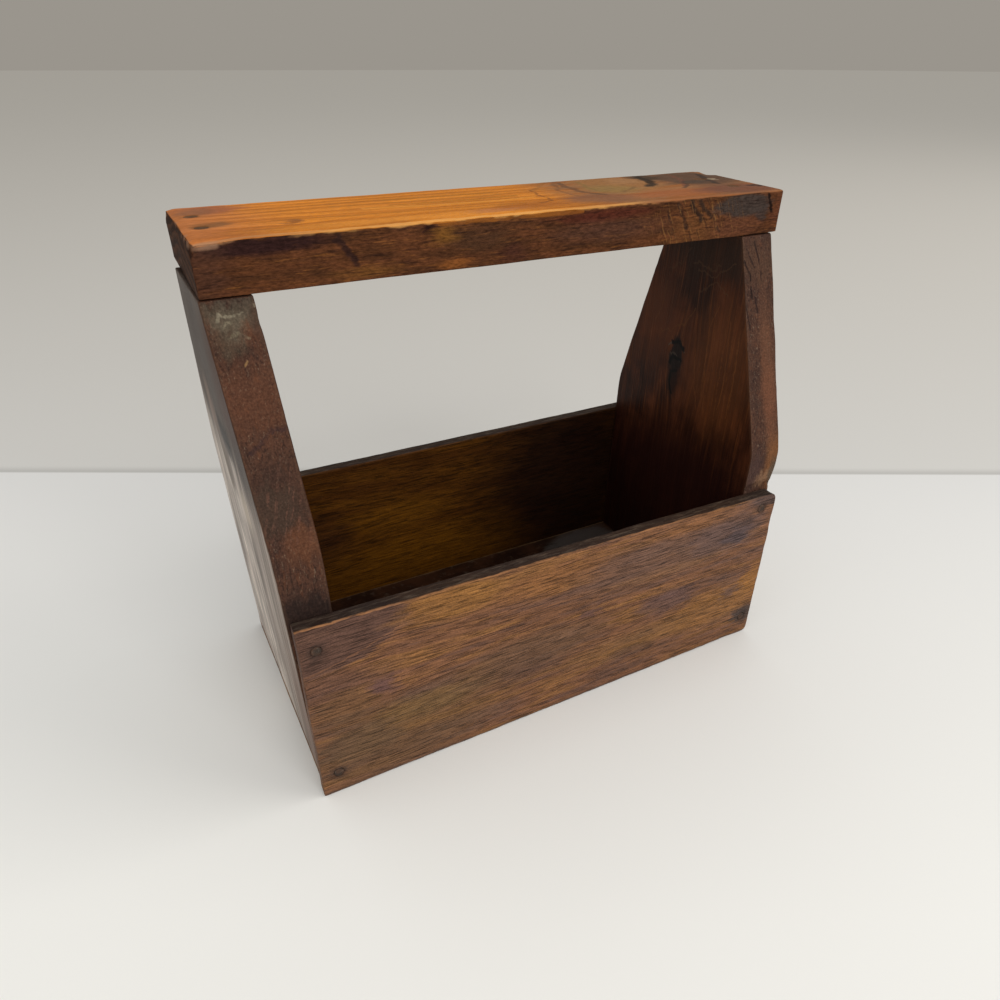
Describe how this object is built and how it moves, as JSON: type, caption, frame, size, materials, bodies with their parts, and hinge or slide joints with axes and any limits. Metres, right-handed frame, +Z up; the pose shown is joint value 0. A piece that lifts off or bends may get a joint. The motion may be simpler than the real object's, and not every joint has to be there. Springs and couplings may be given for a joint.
{
  "type": "hand tote",
  "caption": "Open wooden hand tote: a shallow box of thin nailed boards between two tall tapered end boards, with a flat board across their tops as the handle.",
  "frame": {"origin": "on the resting plane, under the middle of the box", "axes": "X along the length from left to right, Y from the front board to the back board, Z up"},
  "size_m": [0.2797, 0.1354, 0.2368],
  "materials": {
    "handle_wood": "amber-stained pine under gloss varnish, worn bright along the front edge",
    "end_wood": "dark-stained pine, varnished inside, raw and greyed outside",
    "side_wood": "open-pored hardwood board, brown stain under thin varnish",
    "bottom_wood": "dark-stained board, dusty",
    "nail_steel": "wire nail, blackened by rust and stain"
  },
  "bodies": {
    "root": {"front_board": "side_wood", "back_board": "side_wood", "bottom_board": "bottom_wood", "left_end_board": "end_wood", "right_end_board": "end_wood", "handle_board": "handle_wood", "front_left_nails": "nail_steel", "front_right_nails": "nail_steel", "back_left_nails": "nail_steel", "back_right_nails": "nail_steel", "handle_left_nails": "nail_steel", "handle_right_nails": "nail_steel", "bottom_left_nails": "nail_steel", "bottom_right_nails": "nail_steel"}
  },
  "joints": []
}
